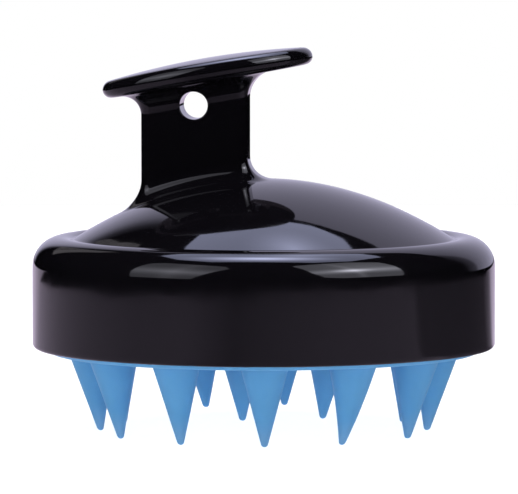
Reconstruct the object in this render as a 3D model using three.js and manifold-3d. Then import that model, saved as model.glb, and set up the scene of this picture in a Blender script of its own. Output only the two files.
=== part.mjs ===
// A hand-held scalp massager brush: a glossy moulded shell with a T-shaped grip, a soft silicone pad
// with conical fingers, and the carrier plate and screws that hold the pad inside the shell.
// Millimetres. Z points up along the body's axis and the tips of the outer fingers touch Z = 0.
// X runs along the grip plate, and the user's side is -Y.
import * as THREE from "three";
import { mergeVertices } from "three/addons/utils/BufferGeometryUtils.js";
import Module from "manifold-3d";

const wasm = await Module();
wasm.setup();

// Clearances and cuts
const fitGap = 0.3; // between pieces that touch or nest
const cutOverrun = 2; // how far a cut runs past the face that it opens
const weldDistance = 0.001; // vertices that lie closer than this are one

// Shell: a held band, its rounded shoulder, and a dome that rises from a crease inside the shoulder
const bandRadius = 45;
const bandHeight = 21.6;
const bandLowerCorner = 1;
const shoulderRadius = 5.7;
const creaseInset = 8; // from the band's wall in to the crease
const domeRise = 11.7;
const shellWall = 2.4;

// Stem of the grip, which stands to one side of the body's axis
const stemOffset = -13.3;
const stemLength = 20.8;
const stemThickness = 8;
const stemCorner = 1.8;
const stemHollowCorner = 0.3;
const stemFillet = 4.5;
const stemFaceFillet = 3.5; // at the foot of the two faces
const hangingHoleDiameter = 5.8;
const hangingHoleDrop = 5.75; // from the middle of the grip plate's rim

// Grip plate: an oval with a rounded rim, a low crown and a tilt
const gripLength = 41.5;
const gripWidth = 26;
const gripRim = 3.1;
const gripOffset = -11;
const gripClearance = 20.5; // from the dome's top to the middle of the rim
const gripTilt = THREE.MathUtils.degToRad(9.9);
const crownRise = 1.4; // from the rim's ends to the middle
const crownFallAcross = 0.75; // from the middle to the rim's long sides
const capBorder = 1.9; // rim left round the cap
const capFloor = 1.2; // tray left under the cap
const capPinRadius = 1.2;
const capPinLength = 4.5;
const capPinSpacing = 13.2;

// Silicone pad and its fingers, whose tips lie on the curve of a head
const fingerLength = 15.4; // of the outer ring
const fingerTipRadius = 0.7;
const fingerTaper = 0.265; // growth of a finger's radius for each length towards its root
const fingerLean = 0.11; // how far a finger's root lies outside its tip, for each length
const outerTipInset = 10.5; // from the pad's edge in to the outer ring of tips
const innerTipRing = 16;
const outerFingers = 12;
const innerFingers = 6;
const fingerTurn = THREE.MathUtils.degToRad(5.8);
const headRadius = 111;
const padThickness = 3;
const padDrop = 0.9; // how far the pad shows below the band
const padCorner = 1.2;
const padSkirtHeight = 9;
const padSkirtWall = 2.2;

// Carrier plate above the pad
const carrierThickness = 2.4;
const carrierRimWall = 2;
const pegRadius = 1.4;
const pegLength = 5;

// Self-tapping screws and the bosses that take them
const screwCount = 4;
const screwCircle = 25.3;
const screwRadius = 1.4;
const screwLength = 10;
const screwPoint = 1.6;
const screwHeadRadius = 2.7;
const screwHeadHeight = 1.8;
const crossWidth = 0.8;
const crossLength = 3.2;
const crossDepth = 1;
const bossWall = 1.9;
const bossSeat = 2.4; // plate material above a screw's head

// Fineness of the curves
const bodySegments = 60;
const gripSegments = 56;
const stemSegments = 56;
const fingerSegments = 14;
const smallSegments = 12;
const domeSteps = 9;
const shoulderSteps = 7;
const filletSteps = 4;
const cornerSteps = 2;
const crownRings = 2;
const tipRings = 2;

// Heights that follow from the sizes above
const padUnderside = fingerLength;
const padTop = padUnderside + padThickness;
const padSkirtTop = padUnderside + padSkirtHeight;
const bandBottom = padUnderside + padDrop;
const shoulderTop = bandBottom + bandHeight;
const shoulderMiddle = shoulderTop - shoulderRadius;
const shoulderCircle = bandRadius - shoulderRadius;
const creaseRadius = bandRadius - creaseInset;
const creaseAngle = Math.PI / 2 + Math.asin((shoulderCircle - creaseRadius) / shoulderRadius);
const creaseHeight = shoulderMiddle + shoulderRadius * Math.sin(creaseAngle);
const domeTop = creaseHeight + domeRise;
const gripMiddle = domeTop + gripClearance;
const carrierUnderside = padTop + fitGap;
const screwSeat = carrierUnderside + screwHeadHeight + 2 * fitGap;
const carrierBossTop = screwSeat + bossSeat;

// Radii that follow from the sizes above
const bandBore = bandRadius - shellWall;
const padRadius = bandBore - fitGap;
const outerTipRing = padRadius - outerTipInset;
const carrierRadius = padRadius - padSkirtWall - fitGap;

// The slope of the grip plate, in the X and Z of the body
const gripFrame = new THREE.Matrix4()
  .makeTranslation(gripOffset, 0, gripMiddle)
  .multiply(new THREE.Matrix4().makeRotationY(-gripTilt));

function gripLevel(x, aboveMiddle) {
  return gripMiddle + (x - gripOffset) * Math.tan(gripTilt) + aboveMiddle / Math.cos(gripTilt);
}

function domeLevel(x, y) {
  return domeTop - (domeRise * (x * x + y * y)) / (creaseRadius * creaseRadius);
}

// Forms: closed solids that can be joined and cut

function solid(geometry) {
  const bare = geometry.clone();
  bare.deleteAttribute("normal");
  bare.deleteAttribute("uv");
  const welded = mergeVertices(bare, weldDistance);
  const corners = welded.index.array;
  const triangles = [];
  for (let i = 0; i < corners.length; i += 3) {
    const [a, b, c] = corners.subarray(i, i + 3);
    if (a !== b && b !== c && c !== a) triangles.push(a, b, c);
  }
  return new wasm.Manifold(
    new wasm.Mesh({
      numProp: 3,
      vertProperties: new Float32Array(welded.attributes.position.array),
      triVerts: new Uint32Array(triangles),
    }),
  );
}

// Points of an outline: x is the distance from the axis and y is the height.
function at(x, y) {
  return new THREE.Vector2(x, y);
}

function arcPoints(x, y, radius, from, to, steps) {
  return Array.from({ length: steps + 1 }, (_, i) => {
    const angle = from + ((to - from) * i) / steps;
    return at(x + radius * Math.cos(angle), y + radius * Math.sin(angle));
  });
}

function turned(outline, segments) {
  return solid(new THREE.LatheGeometry(outline, segments).rotateX(Math.PI / 2));
}

function post(radius, bottom, top, x, y) {
  const height = top - bottom;
  const geometry = new THREE.CylinderGeometry(radius, radius, height, smallSegments)
    .rotateX(Math.PI / 2)
    .translate(x, y, bottom + height / 2);
  return solid(geometry);
}

// A closed skin over rings of equally many points, from the lowest ring to the highest.
function lofted(rings) {
  const count = rings[0].length;
  const middle = (ring) =>
    ring.reduce((sum, point) => sum.add(point), new THREE.Vector3()).divideScalar(count);
  const points = [...rings.flat(), middle(rings[0]), middle(rings.at(-1))];
  const lowMiddle = points.length - 2;
  const highMiddle = points.length - 1;
  const highStart = (rings.length - 1) * count;
  const faces = [];
  for (let i = 0; i < count; i += 1) {
    const next = (i + 1) % count;
    faces.push(lowMiddle, next, i);
    faces.push(highMiddle, highStart + i, highStart + next);
    for (let start = 0; start < highStart; start += count) {
      faces.push(start + i, start + next, start + count + next);
      faces.push(start + i, start + count + next, start + count + i);
    }
  }
  return solid(new THREE.BufferGeometry().setFromPoints(points).setIndex(faces));
}

function joined(forms) {
  return forms.reduce((sum, form) => sum.add(form));
}

// Copies of a place, equally spaced round the body's axis and counted from the user's side.
function ringPlaces(count, radius, turn) {
  return Array.from({ length: count }, (_, i) => {
    const angle = turn + (i * 2 * Math.PI) / count;
    return [radius * Math.sin(angle), -radius * Math.cos(angle)];
  });
}

// Shell

// The dome seen from the side: a parabola from its crease in to the axis, sunk by the inset.
function domePoints(creaseX, inset, steps) {
  return Array.from({ length: steps }, (_, i) => {
    const x = creaseX * (1 - (i + 1) / steps);
    return at(x, domeLevel(x, 0) - inset);
  });
}

function shellOutside() {
  const corner = bandLowerCorner;
  const outline = [
    at(0, bandBottom),
    ...arcPoints(bandRadius - corner, bandBottom + corner, corner, -Math.PI / 2, 0, cornerSteps),
    ...arcPoints(shoulderCircle, shoulderMiddle, shoulderRadius, 0, creaseAngle, shoulderSteps),
    ...domePoints(creaseRadius, 0, domeSteps),
  ];
  return turned(outline, bodySegments);
}

function shellInside() {
  const bottom = bandBottom - cutOverrun;
  const corner = shoulderRadius - shellWall;
  const outline = [
    at(0, bottom),
    at(bandBore, bottom),
    ...arcPoints(shoulderCircle, shoulderMiddle, corner, 0, Math.PI / 2, filletSteps),
    at(creaseRadius, domeLevel(creaseRadius, 0) - shellWall),
    ...domePoints(creaseRadius, shellWall, filletSteps),
  ];
  return turned(outline, bodySegments);
}

function stemOutline(grow) {
  const corner = Math.max(stemCorner + grow, stemHollowCorner);
  const x = stemLength / 2 + grow - corner;
  const y = stemThickness / 2 + grow - corner;
  return new THREE.Shape()
    .moveTo(0, -y - corner)
    .absarc(x, -y, corner, -Math.PI / 2, 0)
    .absarc(x, y, corner, 0, Math.PI / 2)
    .absarc(-x, y, corner, Math.PI / 2, Math.PI)
    .absarc(-x, -y, corner, Math.PI, Math.PI * 1.5)
    .closePath();
}

// Points round the stem, seen from above its middle, each with the direction that it faces.
function stemSides() {
  const core = at(stemLength / 2 - stemCorner, stemThickness / 2 - stemCorner);
  return stemOutline(0)
    .getSpacedPoints(stemSegments)
    .slice(0, -1)
    .map((point) => {
      const inner = point.clone().clamp(core.clone().negate(), core);
      return { point, facing: point.clone().sub(inner).normalize() };
    });
}

// The stem, with a fillet that follows the dome at its foot and the tilted plate at its top.
function stemForm() {
  const sides = stemSides();
  const ring = (radius, angle, level, side) =>
    sides.map(({ point, facing }) => {
      const fillet = radius(facing);
      const { x, y } = point.clone().addScaledVector(facing, fillet * (1 - Math.sin(angle)));
      const height = level(stemOffset + x, y) + side * fillet * (1 - Math.cos(angle));
      return new THREE.Vector3(stemOffset + x, y, height);
    });
  const footFillet = (facing) => stemFaceFillet + (stemFillet - stemFaceFillet) * facing.x ** 2;
  const headFillet = () => stemFillet;
  const arc = Array.from({ length: filletSteps + 1 }, (_, i) => (i * Math.PI) / 2 / filletSteps);
  const foot = arc.map((angle) => ring(footFillet, angle, domeLevel, 1));
  const head = arc.map((angle) => ring(headFillet, angle, (x) => gripLevel(x, -gripRim / 2), -1));
  const rootRing = ring(footFillet, 0, (x, y) => domeLevel(x, y) - shellWall / 2, 1);
  const topRing = ring(headFillet, 0, (x) => gripLevel(x, (capFloor - gripRim) / 2), -1);
  return lofted([rootRing, ...foot, ...head.reverse(), topRing]);
}

// The hollow that is cored into the stem from inside the dome, up to the wall of the hanging hole.
function stemHollow() {
  const top = gripLevel(stemOffset, 0) - hangingHoleDrop - hangingHoleDiameter / 2 - shellWall;
  const bottom = creaseHeight;
  const prism = new THREE.ExtrudeGeometry(stemOutline(-shellWall), {
    depth: top - bottom,
    bevelEnabled: false,
    curveSegments: filletSteps,
  });
  return solid(prism.translate(stemOffset, 0, bottom));
}

function hangingHole() {
  const length = stemThickness + 2 * cutOverrun;
  const radius = hangingHoleDiameter / 2;
  const height = gripLevel(stemOffset, 0) - hangingHoleDrop;
  return solid(
    new THREE.CylinderGeometry(radius, radius, length, 2 * smallSegments).translate(
      stemOffset,
      0,
      height,
    ),
  );
}

// An oval ring of the grip plate in the plate's own frame. crownShare says how much of the crown it has.
function gripRing(border, scale, level, crownShare) {
  const halfLength = gripLength / 2;
  const halfWidth = gripWidth / 2;
  return Array.from({ length: gripSegments }, (_, i) => {
    const angle = (i * 2 * Math.PI) / gripSegments;
    const x = scale * (halfLength - border) * Math.cos(angle);
    const y = scale * (halfWidth - border) * Math.sin(angle);
    const fall = crownRise * (x / halfLength) ** 2 + crownFallAcross * (y / halfWidth) ** 2;
    return new THREE.Vector3(x, y, level + crownShare * (crownRise - fall));
  });
}

function crown(border) {
  return Array.from({ length: crownRings }, (_, i) =>
    gripRing(border, 1 - (i + 1) / (crownRings + 1), gripRim / 2, 1),
  );
}

function gripForm() {
  const radius = gripRim / 2;
  const rim = Array.from({ length: 2 * filletSteps + 1 }, (_, i) => {
    const angle = -Math.PI / 2 + (i * Math.PI) / (2 * filletSteps);
    const up = Math.sin(angle);
    return gripRing(radius * (1 - Math.cos(angle)), 1, radius * up, (1 + up) / 2);
  });
  return lofted([...rim, ...crown(radius)]);
}

// The two places of the cap's pins, in the plate's own frame
const stemInGrip = (stemOffset - gripOffset) / Math.cos(gripTilt);
const capPinPlaces = [stemInGrip - capPinSpacing / 2, stemInGrip + capPinSpacing / 2];
const capUnderside = capFloor - gripRim / 2 + fitGap;

function capPocket() {
  const floor = capUnderside - fitGap;
  const clear = gripRim / 2 + crownRise + cutOverrun;
  return lofted([gripRing(capBorder, 1, floor, 0), gripRing(capBorder, 1, clear, 0)]);
}

function capPins(grow) {
  const bottom = capUnderside - capPinLength - grow;
  return capPinPlaces.map((x) => post(capPinRadius + grow, bottom, capUnderside + capFloor, x, 0));
}

function handleCap() {
  const border = capBorder + fitGap;
  const lower = gripRing(border, 1, capUnderside, 0);
  const upper = gripRing(border, 1, gripRim / 2, 1);
  return joined([lofted([lower, upper, ...crown(border)]), ...capPins(0)]);
}

const screwPlaces = ringPlaces(screwCount, screwCircle, fingerTurn + Math.PI / screwCount);
const pilotRadius = screwRadius + fitGap;

function housingShell() {
  const outside = shellOutside();
  const bosses = screwPlaces.map(([x, y]) =>
    post(pilotRadius + bossWall, carrierBossTop + fitGap, domeTop, x, y).intersect(outside),
  );
  const pilotTop = screwSeat + screwLength;
  const pilots = screwPlaces.map(([x, y]) => post(pilotRadius, carrierBossTop, pilotTop, x, y));
  const tray = [capPocket(), ...capPins(fitGap)].reduce(
    (rest, cut) => rest.subtract(cut),
    gripForm().add(stemForm().transform(gripFrame.clone().invert().elements)),
  );
  const grip = tray.transform(gripFrame.elements);
  const body = joined([outside.subtract(shellInside()), grip, ...bosses]);
  return [stemHollow(), hangingHole(), ...pilots].reduce((rest, cut) => rest.subtract(cut), body);
}

// Silicone pad

// How far a tip at this radius lies above the outer tips, on a head that rests on those
function headRise(radius) {
  return (outerTipRing ** 2 - radius ** 2) / (2 * headRadius);
}

// Each finger: its direction round the axis, the radius of its tip's place and its length
function fingerPlan() {
  const plan = (count, radius, turn) =>
    Array.from({ length: count }, (_, i) => ({
      angle: turn + (i * 2 * Math.PI) / count,
      radius,
      length: fingerLength - headRise(radius),
    }));
  return [
    ...plan(outerFingers, outerTipRing, fingerTurn),
    ...plan(innerFingers, innerTipRing, fingerTurn - Math.PI / outerFingers),
    ...plan(1, 0, fingerTurn),
  ];
}

function fingerRoot({ angle, radius, length }) {
  const rootRadius = radius > 0 ? radius + fingerLean * length : 0;
  return [rootRadius * Math.sin(angle), -rootRadius * Math.cos(angle)];
}

// A cone from inside the pad down to a round tip, each of whose rings lies a little further in.
function fingerForm(finger) {
  const { angle, radius, length } = finger;
  const lean = radius > 0 ? fingerLean : 0;
  const tipLevel = padUnderside - length;
  const ring = (size, level) => {
    const distance = radius + lean * (level - tipLevel);
    return Array.from({ length: fingerSegments }, (_, i) => {
      const turn = (i * 2 * Math.PI) / fingerSegments;
      return new THREE.Vector3(
        distance * Math.sin(angle) + size * Math.cos(turn),
        -distance * Math.cos(angle) + size * Math.sin(turn),
        level,
      );
    });
  };
  const step = Math.PI / 2 / (tipRings + 1);
  const tipHeight = fingerTipRadius * Math.cos(step);
  const tip = Array.from({ length: tipRings + 1 }, (_, i) => {
    const turn = (i + 1) * step;
    return ring(fingerTipRadius * Math.sin(turn), tipLevel + tipHeight - fingerTipRadius * Math.cos(turn));
  });
  const buried = padThickness / 2;
  const rootSize = fingerTipRadius + fingerTaper * (length + buried - tipHeight);
  return lofted([...tip, ring(rootSize, padUnderside + buried)]);
}

function siliconePad() {
  const corner = padCorner;
  const bore = padRadius - padSkirtWall;
  const outline = [
    at(0, padUnderside),
    ...arcPoints(padRadius - corner, padUnderside + corner, corner, -Math.PI / 2, 0, filletSteps),
    at(padRadius, padSkirtTop),
    at(bore, padSkirtTop),
    at(bore, padTop),
    at(0, padTop),
  ];
  const fingers = fingerPlan();
  const pad = joined([turned(outline, bodySegments), ...fingers.map(fingerForm)]);
  const sockets = fingers.map((finger) => {
    const bottom = carrierUnderside - pegLength - fitGap;
    return post(pegRadius + fitGap, bottom, padTop + cutOverrun, ...fingerRoot(finger));
  });
  return sockets.reduce((rest, socket) => rest.subtract(socket), pad);
}

// Carrier plate

function carrierPlate() {
  const rimBore = carrierRadius - carrierRimWall;
  const plateTop = carrierUnderside + carrierThickness;
  const outline = [
    at(0, carrierUnderside),
    at(carrierRadius, carrierUnderside),
    at(carrierRadius, padSkirtTop),
    at(rimBore, padSkirtTop),
    at(rimBore, plateTop),
    at(0, plateTop),
  ];
  const pegs = fingerPlan().map((finger) =>
    post(pegRadius, carrierUnderside - pegLength, plateTop, ...fingerRoot(finger)),
  );
  const recessRadius = screwHeadRadius + fitGap;
  const bosses = screwPlaces.map(([x, y]) =>
    post(recessRadius + bossWall, carrierUnderside, carrierBossTop, x, y),
  );
  const cuts = screwPlaces.flatMap(([x, y]) => [
    post(recessRadius, carrierUnderside - cutOverrun, screwSeat, x, y),
    post(pilotRadius, carrierUnderside, carrierBossTop + cutOverrun, x, y),
  ]);
  const plate = joined([turned(outline, bodySegments), ...pegs, ...bosses]);
  return cuts.reduce((rest, cut) => rest.subtract(cut), plate);
}

// Screw, with the underside of its head at the origin and its point upwards

function screwForm() {
  const dome = screwHeadHeight / 2;
  const outline = [
    at(0, -screwHeadHeight),
    ...arcPoints(screwHeadRadius - dome, dome - screwHeadHeight, dome, -Math.PI / 2, 0, cornerSteps),
    at(screwHeadRadius, 0),
    at(screwRadius, 0),
    at(screwRadius, screwLength - screwPoint),
    at(0, screwLength),
  ];
  const slot = (length, width) =>
    solid(
      new THREE.BoxGeometry(length, width, 2 * crossDepth).translate(0, 0, -screwHeadHeight),
    );
  return turned(outline, smallSegments)
    .subtract(slot(crossLength, crossWidth))
    .subtract(slot(crossWidth, crossLength));
}

// Pieces

function piece(name, form, material) {
  const { vertProperties, triVerts } = form.getMesh();
  const geometry = new THREE.BufferGeometry()
    .setAttribute("position", new THREE.BufferAttribute(vertProperties, 3))
    .setIndex(new THREE.BufferAttribute(triVerts, 1));
  geometry.computeVertexNormals();
  const mesh = new THREE.Mesh(geometry, material);
  mesh.name = name;
  return mesh;
}

const blackAbs = new THREE.MeshStandardMaterial({ color: 0x0c0b0e, roughness: 0.12 });
const greyAbs = new THREE.MeshStandardMaterial({ color: 0x6d6f73, roughness: 0.5 });
const blueSilicone = new THREE.MeshStandardMaterial({ color: 0x5096cf, roughness: 0.45 });
const zincSteel = new THREE.MeshStandardMaterial({ color: 0xb9bcc0, roughness: 0.35, metalness: 1 });

const brush = new THREE.Group();
brush.add(piece("housing_shell", housingShell(), blackAbs));

const grip = new THREE.Group();
grip.applyMatrix4(gripFrame);
grip.add(piece("handle_cap", handleCap(), blackAbs));
brush.add(grip);

brush.add(piece("carrier_plate", carrierPlate(), greyAbs));
screwPlaces.forEach(([x, y], i) => {
  const screw = piece(`carrier_screw_${i + 1}`, screwForm(), zincSteel);
  screw.position.set(x, y, screwSeat - fitGap);
  brush.add(screw);
});
brush.add(piece("silicone_pad", siliconePad(), blueSilicone));

export default brush;
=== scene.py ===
# %% [markdown]
# # A scalp massager brush
# The brush is a glossy black moulding with a T-shaped grip, and a soft blue silicone pad with
# nineteen fingers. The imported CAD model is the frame: every piece is built in the same place, in
# metres, with Z up and the user's side at -Y. The pieces replace the CAD ones, because a polished
# surface shows every facet, so its skin has to be finer than a CAD check needs.

import math

import bmesh
import bpy
import numpy as np
from mathutils import Matrix, Vector
from mathutils.geometry import delaunay_2d_cdt


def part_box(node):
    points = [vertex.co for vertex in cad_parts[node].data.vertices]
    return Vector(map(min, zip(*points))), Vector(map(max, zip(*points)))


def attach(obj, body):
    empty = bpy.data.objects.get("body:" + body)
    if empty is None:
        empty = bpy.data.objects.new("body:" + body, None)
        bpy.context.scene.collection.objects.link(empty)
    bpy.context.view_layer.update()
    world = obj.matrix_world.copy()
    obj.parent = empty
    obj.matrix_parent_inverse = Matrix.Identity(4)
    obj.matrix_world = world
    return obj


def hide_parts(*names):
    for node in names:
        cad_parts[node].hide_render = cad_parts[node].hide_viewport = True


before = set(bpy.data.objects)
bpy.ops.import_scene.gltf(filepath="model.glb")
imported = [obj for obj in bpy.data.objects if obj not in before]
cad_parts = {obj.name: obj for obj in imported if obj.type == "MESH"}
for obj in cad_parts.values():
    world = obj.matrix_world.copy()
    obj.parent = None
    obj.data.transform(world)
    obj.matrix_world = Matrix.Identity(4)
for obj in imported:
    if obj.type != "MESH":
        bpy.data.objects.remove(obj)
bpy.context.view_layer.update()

# %% [markdown]
# ## Sizes
# The outlines are drawn in millimetres. What can be read from the boxes of the CAD pieces is read
# from there, so that the look fits the frame. The rest, such as radii, is written out.

# %% Sizes in millimetres
MM = 0.001


def box_mm(node):
    """The lowest and highest corner of a CAD node, in millimetres."""
    return [np.round(np.array(corner) / MM, 3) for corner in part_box(node)]


shell_low, shell_high = box_mm("housing_shell")
pad_high = box_mm("silicone_pad")[1]
carrier_low, carrier_high = box_mm("carrier_plate")

BAND_RADIUS, BAND_BOTTOM = shell_high[0], shell_low[2]
BAND_HEIGHT, SHELL_WALL, LOWER_CORNER, BORE_ROUND = 21.6, 2.4, 1.0, 0.25
SHOULDER_RADIUS, CREASE_RADIUS, CREASE_FILLET = 5.7, 37.0, 0.7
DOME_RISE = 11.7
PLATE_UNDERSIDE, PLATE_THICKNESS, CARRIER_BOSS_TOP = 18.7, 2.4, 23.5
FIT = 0.3  # the clearance between pieces that touch or nest
LEVEL = 0.99999  # a face whose normal stands this upright is level

STEM_OFFSET, STEM_LENGTH, STEM_THICKNESS = -13.3, 20.8, 8.0
STEM_CORNER, HOLLOW_CORNER, STEM_FILLET, FACE_FILLET = 1.8, 0.3, 4.5, 3.5
HOLE_RADIUS, HOLE_DROP, HOLE_ROUND = 2.72, 5.75, 0.3

GRIP_LENGTH, GRIP_WIDTH, GRIP_RIM = 41.5, 26.0, 3.1
GRIP_OFFSET, GRIP_CLEARANCE, GRIP_TILT = -11.0, 20.5, math.radians(9.9)
CROWN_RISE, CROWN_FALL_ACROSS = 1.4, 0.75
CAP_BORDER, CAP_FLOOR, CAP_GAP, CAP_SEAM, CAP_ROUND = 1.9, 1.2, 0.1, 0.12, 0.12

SHOULDER_MIDDLE = BAND_BOTTOM + BAND_HEIGHT - SHOULDER_RADIUS
SHOULDER_CIRCLE = BAND_RADIUS - SHOULDER_RADIUS
CREASE_HEIGHT = SHOULDER_MIDDLE + math.sqrt(
    SHOULDER_RADIUS**2 - (SHOULDER_CIRCLE - CREASE_RADIUS) ** 2
)
DOME_TOP = CREASE_HEIGHT + DOME_RISE
GRIP_MIDDLE = DOME_TOP + GRIP_CLEARANCE
print("dome top", round(DOME_TOP, 2), "mm, grip plate", round(GRIP_MIDDLE, 2), "mm")

# %% [markdown]
# ## How a skin is made
# Almost every piece is a stack of rings. Bands of four-sided faces join them into one even skin.
# Cylinders and booleans would be quicker, but a boolean leaves ragged faces, and a polished surface
# shows them as dents. Only flat faces with holes are filled with triangles.

# %% Rings, bands and flat faces


def add_ring(bm, points):
    return [bm.verts.new(Vector(point) * MM) for point in points]


def join_rings(bm, low, high):
    """Joins two rings with a band of faces, and returns the faces."""
    count = len(low)
    return [
        bm.faces.new((low[i], low[(i + 1) % count], high[(i + 1) % count], high[i]))
        for i in range(count)
    ]


def add_skin(bm, rings):
    """Adds a stack of rings and the bands between them."""
    rows = [add_ring(bm, ring) for ring in rings]
    bands = [join_rings(bm, low, high) for low, high in zip(rows, rows[1:])]
    return rows, bands


def close_ring(bm, ring):
    """Closes the end of a skin with a fan round its middle."""
    middle = bm.verts.new(sum((vert.co for vert in ring), Vector()) / len(ring))
    for i, vert in enumerate(ring):
        bm.faces.new((vert, ring[(i + 1) % len(ring)], middle))


def add_closed_skin(bm, rings):
    """Adds a skin and closes both of its ends."""
    rows, bands = add_skin(bm, rings)
    close_ring(bm, rows[0])
    close_ring(bm, rows[-1])
    return rows, bands


def add_blind_skin(bm, rings):
    """Adds a skin, closes its far end and returns its open ring."""
    rows, _ = add_skin(bm, rings)
    close_ring(bm, rows[-1])
    return rows[0]


def lies_inside(x, y, ring):
    """True if a point lies inside a ring, seen from above."""
    inside = False
    for a, b in zip(ring, ring[1:] + ring[:1]):
        if (a.co.y > y) != (b.co.y > y):
            if x < a.co.x + (y - a.co.y) * (b.co.x - a.co.x) / (b.co.y - a.co.y):
                inside = not inside
    return inside


def fill_flat(bm, edge, holes):
    """Fills the flat face between an outer ring and the rings inside it."""
    verts, sides = [], []
    for ring in [edge, *holes]:
        start = len(verts)
        sides += [(start + i, start + (i + 1) % len(ring)) for i in range(len(ring))]
        verts += ring
    flat = [Vector((vert.co.x, vert.co.y)) / MM for vert in verts]
    _, _, faces, origins, _, _ = delaunay_2d_cdt(flat, sides, [], 0, 1e-5)
    for face in faces:
        corners = [verts[origins[i][0]] for i in face]
        middle = sum((vert.co for vert in corners), Vector()) / len(corners)
        if not any(lies_inside(middle.x, middle.y, hole) for hole in holes):
            bm.faces.new(corners)


def make_mesh(bm, name, finish):
    """Turns a finished skin into a mesh with its finish, smooth but for its level faces."""
    bmesh.ops.recalc_face_normals(bm, faces=bm.faces)
    for face in bm.faces:
        face.smooth = abs(face.normal.z) < LEVEL
    mesh = bpy.data.meshes.new(name)
    bm.to_mesh(mesh)
    bm.free()
    mesh.materials.append(finish)
    print(f"{name}: {len(mesh.polygons)} faces")
    return mesh


def add_object(name, data):
    """An object of the scene that holds a mesh, a light or a camera."""
    item = bpy.data.objects.new(name, data)
    bpy.context.scene.collection.objects.link(item)
    return item


def hold_piece(mesh, name, body, node, spot=Matrix.Identity(4)):
    """Puts a mesh in its place as a piece that rides on its body and stands for its CAD node."""
    piece = add_object(name, mesh)
    piece.matrix_world = spot
    piece.modifiers.new("normals by area", "WEIGHTED_NORMAL").weight = 80
    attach(piece, body)
    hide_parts(node)
    return piece


def make_piece(bm, name, finish, body, node):
    return hold_piece(make_mesh(bm, name, finish), name, body, node)


def arc(x, y, radius, start, end, steps):
    """Points of an arc in an outline of distance and height, with its angles in degrees."""
    angles = np.radians(np.linspace(start, end, steps + 1))
    return [(x + radius * math.cos(a), y + radius * math.sin(a)) for a in angles]


# %% [markdown]
# ## Finishes
# A few helpers keep the node trees readable. One turns a hex colour, as a paint chart gives it,
# into the linear numbers that light is worked out with, and one adds any node with its settings
# and links. Patterns are scaled from a real size in millimetres.

# %% Helpers for finishes


def linear(hex_colour):
    """An sRGB hex colour as linear red, green, blue and alpha."""
    channels = [int(hex_colour[i : i + 2], 16) / 255 for i in (1, 3, 5)]
    curve = [c / 12.92 if c <= 0.04045 else ((c + 0.055) / 1.055) ** 2.4 for c in channels]
    return (*curve, 1.0)


def per_feature(size):
    """The scale of a pattern whose features are this many millimetres across."""
    return 1 / (size * MM)


def add_node(tree, kind, values={}, links={}, **settings):
    """Adds a node with its settings, the values of its inputs and what is linked to them."""
    node = tree.nodes.new(kind)
    for name, value in settings.items():
        setattr(node, name, value)
    for name, value in values.items():
        node.inputs[name].default_value = value
    for name, output in links.items():
        tree.links.new(output, node.inputs[name])
    return node


def two_shades(tree, place, size, detail, first, second):
    """A colour that drifts between two shades, in patches of this many millimetres."""
    grain = {"Scale": per_feature(size), "Detail": detail}
    patches = add_node(tree, "ShaderNodeTexNoise", grain, {"Vector": place}).outputs["Fac"]
    colours = {"A": linear(first), "B": linear(second)}
    shades = add_node(tree, "ShaderNodeMix", colours, {"Factor": patches}, data_type="RGBA")
    return shades.outputs["Result"]


def start_finish(name, sockets):
    """A material with values on its shader's own sockets, and its tree, shader and place."""
    finish = bpy.data.materials.new(name)
    finish.use_nodes = True
    shader = finish.node_tree.nodes["Principled BSDF"]
    for socket, value in sockets.items():
        shader.inputs[socket].default_value = value
    place = add_node(finish.node_tree, "ShaderNodeTexCoord").outputs["Object"]
    return finish, finish.node_tree, shader, place


def end_finish(tree, shader, colour, gloss, relief, strength, depth):
    """Links colour, roughness and a relief, this many millimetres deep, to the shader."""
    bump = add_node(
        tree, "ShaderNodeBump", {"Strength": strength, "Distance": depth * MM}, {"Height": relief}
    )
    tree.links.new(colour, shader.inputs["Base Color"])
    tree.links.new(gloss.outputs["Result"], shader.inputs["Roughness"])
    tree.links.new(bump.outputs["Normal"], shader.inputs["Normal"])


# %% [markdown]
# ### Polished black ABS
# The shell and its cap are acrylonitrile butadiene styrene (ABS), moulded in a steel tool that was
# polished like a mirror. What the eye gets is the room, bent a little: the shrinking plastic leaves
# waves some ten millimetres long and a few thousandths deep, and wiping leaves patches that are a
# touch less sharp. A plain black gloss would be quicker, but it looks like glass.

# %% Polished black ABS
black_abs, tree, shader, place = start_finish("Polished black ABS", {"IOR": 1.54})
colour = two_shades(tree, place, 18, 2.0, "#060508", "#09080b")
strokes = {"Scale": per_feature(5), "Detail": 6.0, "Roughness": 0.7}
wiping = add_node(tree, "ShaderNodeTexNoise", strokes, {"Vector": place}).outputs["Fac"]
polish = {"From Min": 0.35, "From Max": 0.75, "To Min": 0.035, "To Max": 0.075}
gloss = add_node(tree, "ShaderNodeMapRange", polish, {"Value": wiping})
waves = {"Scale": per_feature(11), "Detail": 1.0}
waviness = add_node(tree, "ShaderNodeTexNoise", waves, {"Vector": place}).outputs["Fac"]
end_finish(tree, shader, colour, gloss, waviness, 1.0, 0.02)
print("finish:", black_abs.name)
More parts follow.
